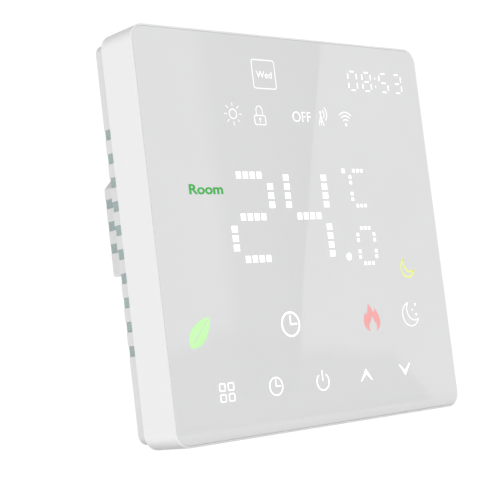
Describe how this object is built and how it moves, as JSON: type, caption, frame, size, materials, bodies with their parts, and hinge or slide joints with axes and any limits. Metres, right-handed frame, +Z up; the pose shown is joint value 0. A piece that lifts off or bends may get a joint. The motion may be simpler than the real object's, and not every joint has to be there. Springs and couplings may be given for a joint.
{
  "type": "wall thermostat",
  "caption": "Square touch-screen wall thermostat with a glossy front panel, a vented rim and a rear power box that sinks into a wall box.",
  "frame": {"origin": "midway between the two wall screws, in the plane of the wall that the rim rests on", "axes": "+Z up, +X to the right seen from the room, +Y into the wall; the front face looks along -Y"},
  "size_m": [0.086, 0.0378, 0.086],
  "materials": {
    "panel_acrylic": "polished, light grey white",
    "shell_white": "fine satin moulding",
    "diffuser_film": "milky film",
    "guide_white": "smooth moulding",
    "board_white": "white solder mask",
    "lamp": "clear lamp",
    "spring_steel": "bright spring steel",
    "chip_black": "moulded",
    "board_green": "green solder mask",
    "tinned_steel": "tinned",
    "bead_glass": "coated bead",
    "connector_black": "moulded",
    "cover_white": "satin moulding",
    "screw_steel": "zinc plated",
    "base_white": "satin moulding",
    "zinc_plate": "zinc plated sheet",
    "pin_brass": "plated",
    "ferrite": "sintered ferrite",
    "winding_tape": "yellow tape",
    "capacitor_sleeve": "shrink sleeve",
    "capacitor_yellow": "resin filled case",
    "varistor_blue": "epoxy coated",
    "fuse_body": "moulded",
    "terminal_grey": "moulded",
    "relay_plastic": "moulded",
    "bobbin_nylon": "moulded",
    "coil_copper": "enamelled copper wire",
    "relay_iron": "plated iron",
    "contact_copper": "copper leaf",
    "cage_steel": "zinc plated"
  },
  "bodies": {
    "wall_base": {"base_frame": "base_white", "mounting_plate": "zinc_plate", "plate_screws": "screw_steel", "retaining_clips": "spring_steel", "power_lid": "cover_white", "power_lid_screws": "screw_steel", "power_board": "board_green", "pin_header_base": "connector_black", "header_pins": "pin_brass", "transformer_base": "connector_black", "transformer_core": "ferrite", "transformer_winding": "winding_tape", "bulk_capacitor": "capacitor_sleeve", "suppression_capacitor": "capacitor_yellow", "varistor": "varistor_blue", "fuse_link": "fuse_body", "terminal_block": "terminal_grey", "terminal_bars": "pin_brass", "relay_base": "relay_plastic", "relay_cover": "relay_plastic", "relay_bobbin": "bobbin_nylon", "relay_coil": "coil_copper", "relay_core": "relay_iron", "relay_yoke": "relay_iron", "fixed_contact": "contact_copper"},
    "front_module": {"front_panel": "panel_acrylic", "front_shell": "shell_white", "diffuser_sheet": "diffuser_film", "light_guide": "guide_white", "display_board": "board_white", "display_leds": "lamp", "touch_springs": "spring_steel", "controller_chip": "chip_black", "radio_board": "board_green", "radio_shield": "tinned_steel", "buzzer": "chip_black", "room_sensor": "bead_glass", "display_socket": "connector_black", "inner_cover": "cover_white", "inner_cover_screws": "screw_steel"},
    "relay_flap": {"relay_armature": "relay_iron", "contact_leaf": "contact_copper"},
    "screw_1": {"terminal_screw_1": "screw_steel"},
    "cage_1": {"terminal_cage_1": "cage_steel"},
    "screw_2": {"terminal_screw_2": "screw_steel"},
    "cage_2": {"terminal_cage_2": "cage_steel"},
    "screw_3": {"terminal_screw_3": "screw_steel"},
    "cage_3": {"terminal_cage_3": "cage_steel"},
    "screw_4": {"terminal_screw_4": "screw_steel"},
    "cage_4": {"terminal_cage_4": "cage_steel"},
    "screw_5": {"terminal_screw_5": "screw_steel"},
    "cage_5": {"terminal_cage_5": "cage_steel"},
    "screw_6": {"terminal_screw_6": "screw_steel"},
    "cage_6": {"terminal_cage_6": "cage_steel"}
  },
  "joints": [
    {"name": "front_module_slide", "type": "slide", "parent": "wall_base", "child": "front_module", "axis": [0, -1, 0], "range_m": [0, 0.03]},
    {"name": "relay_flap_swing", "type": "hinge", "parent": "wall_base", "child": "relay_flap", "pos_m": [-0.0184, 0.0121, 0.005], "axis": [0, 0, -1], "range_deg": [0, 3.2], "stiffness_Nm_per_rad": 0.01, "springref_deg": -2.86},
    {"name": "terminal_screw_1_turn", "type": "hinge", "parent": "wall_base", "child": "screw_1", "pos_m": [-0.01588, 0.022, -0.0176], "axis": [0, -1, 0], "range_deg": [0, 1080]},
    {"name": "terminal_cage_1_rise", "type": "slide", "parent": "wall_base", "child": "cage_1", "axis": [0, 1, 0], "range_m": [0, 0.0015]},
    {"name": "terminal_screw_2_turn", "type": "hinge", "parent": "wall_base", "child": "screw_2", "pos_m": [-0.00953, 0.022, -0.0176], "axis": [0, -1, 0], "range_deg": [0, 1080]},
    {"name": "terminal_cage_2_rise", "type": "slide", "parent": "wall_base", "child": "cage_2", "axis": [0, 1, 0], "range_m": [0, 0.0015]},
    {"name": "terminal_screw_3_turn", "type": "hinge", "parent": "wall_base", "child": "screw_3", "pos_m": [-0.00317, 0.022, -0.0176], "axis": [0, -1, 0], "range_deg": [0, 1080]},
    {"name": "terminal_cage_3_rise", "type": "slide", "parent": "wall_base", "child": "cage_3", "axis": [0, 1, 0], "range_m": [0, 0.0015]},
    {"name": "terminal_screw_4_turn", "type": "hinge", "parent": "wall_base", "child": "screw_4", "pos_m": [0.00317, 0.022, -0.0176], "axis": [0, -1, 0], "range_deg": [0, 1080]},
    {"name": "terminal_cage_4_rise", "type": "slide", "parent": "wall_base", "child": "cage_4", "axis": [0, 1, 0], "range_m": [0, 0.0015]},
    {"name": "terminal_screw_5_turn", "type": "hinge", "parent": "wall_base", "child": "screw_5", "pos_m": [0.00953, 0.022, -0.0176], "axis": [0, -1, 0], "range_deg": [0, 1080]},
    {"name": "terminal_cage_5_rise", "type": "slide", "parent": "wall_base", "child": "cage_5", "axis": [0, 1, 0], "range_m": [0, 0.0015]},
    {"name": "terminal_screw_6_turn", "type": "hinge", "parent": "wall_base", "child": "screw_6", "pos_m": [0.01588, 0.022, -0.0176], "axis": [0, -1, 0], "range_deg": [0, 1080]},
    {"name": "terminal_cage_6_rise", "type": "slide", "parent": "wall_base", "child": "cage_6", "axis": [0, 1, 0], "range_m": [0, 0.0015]}
  ],
  "couplings": [
    {"joint": "terminal_screw_1_turn", "follows": "terminal_cage_1_rise", "rad_per_m": 12566},
    {"joint": "terminal_screw_2_turn", "follows": "terminal_cage_2_rise", "rad_per_m": 12566},
    {"joint": "terminal_screw_3_turn", "follows": "terminal_cage_3_rise", "rad_per_m": 12566},
    {"joint": "terminal_screw_4_turn", "follows": "terminal_cage_4_rise", "rad_per_m": 12566},
    {"joint": "terminal_screw_5_turn", "follows": "terminal_cage_5_rise", "rad_per_m": 12566},
    {"joint": "terminal_screw_6_turn", "follows": "terminal_cage_6_rise", "rad_per_m": 12566}
  ]
}
